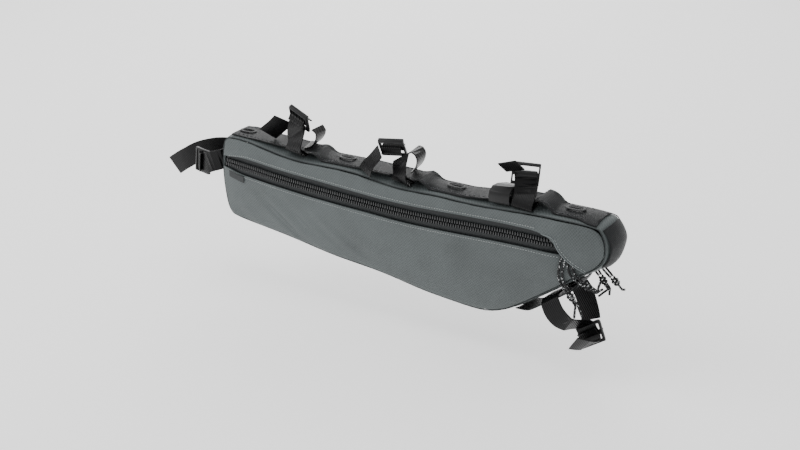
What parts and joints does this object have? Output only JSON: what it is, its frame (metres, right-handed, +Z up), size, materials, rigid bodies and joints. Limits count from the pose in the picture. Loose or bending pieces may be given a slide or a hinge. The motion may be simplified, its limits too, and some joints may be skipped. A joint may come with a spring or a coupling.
{
  "type": "bicycle frame bag",
  "caption": "Slim zipped cloth bag that hangs under a bicycle's top tube, with webbing straps, buckles, slotted reinforcing strip and cord pulls",
  "frame": {"origin": "middle of the bag's top, where the bicycle's top tube sits on it", "axes": "+X along the bag towards its nose, +Y across the bike to the far face, +Z up"},
  "size_m": [0.619, 0.0638, 0.2056],
  "materials": {
    "grey_cloth": "matte laminated pack cloth",
    "dark_tape": "coated zip tape and binding",
    "tooth_plastic": "moulded, low gloss",
    "black_strip": "coated grip cloth",
    "webbing": "woven nylon, slightly glossy",
    "buckle_plastic": "moulded, low gloss",
    "cord_weave": "braided, with pale flecks",
    "ring_rubber": "soft moulded",
    "slider_metal": "black coated"
  },
  "bodies": {
    "root": {"far_lower_panel": "grey_cloth", "far_piping": "dark_tape", "far_pull_1_cord": "cord_weave", "far_pull_1_knot": "cord_weave", "far_pull_1_tail_1": "cord_weave", "far_pull_1_tail_2": "cord_weave", "far_pull_2_cord": "cord_weave", "far_pull_2_knot": "cord_weave", "far_pull_2_tail_1": "cord_weave", "far_slider_1": "slider_metal", "far_slider_2": "slider_metal", "far_upper_panel": "grey_cloth", "far_zip_chain": "tooth_plastic", "far_zip_tape": "dark_tape", "gusset_band": "grey_cloth", "lower_strap_buckle": "buckle_plastic", "lower_strap_far": "webbing", "lower_strap_near": "webbing", "lower_strap_tail": "webbing", "near_lower_panel": "grey_cloth", "near_piping": "dark_tape", "near_pull_1_cord": "cord_weave", "near_pull_1_knot": "cord_weave", "near_pull_1_tail_1": "cord_weave", "near_pull_1_tail_2": "cord_weave", "near_pull_2_cord": "cord_weave", "near_pull_2_knot": "cord_weave", "near_pull_2_tail_1": "cord_weave", "near_pull_2_tail_2": "cord_weave", "near_slider_1": "slider_metal", "near_slider_2": "slider_metal", "near_upper_panel": "grey_cloth", "near_zip_chain": "tooth_plastic", "near_zip_tape": "dark_tape", "nose_patch": "black_strip", "rear_patch": "black_strip", "rear_strap_buckle": "buckle_plastic", "rear_strap_far": "webbing", "rear_strap_near": "webbing", "rear_tag": "dark_tape", "slant_strip": "black_strip", "slot_ring_1": "ring_rubber", "slot_ring_2": "ring_rubber", "slot_ring_3": "ring_rubber", "slot_ring_4": "ring_rubber", "top_strap_1_buckle": "buckle_plastic", "top_strap_1_cross": "webbing", "top_strap_1_leg": "webbing", "top_strap_1_tail": "webbing", "top_strap_2_buckle": "buckle_plastic", "top_strap_2_cross": "webbing", "top_strap_2_leg": "webbing", "top_strap_2_tail": "webbing", "top_strap_3_buckle": "buckle_plastic", "top_strap_3_cross": "webbing", "top_strap_3_ring": "webbing", "top_strap_3_tail": "webbing", "top_strip": "black_strip"}
  },
  "joints": []
}
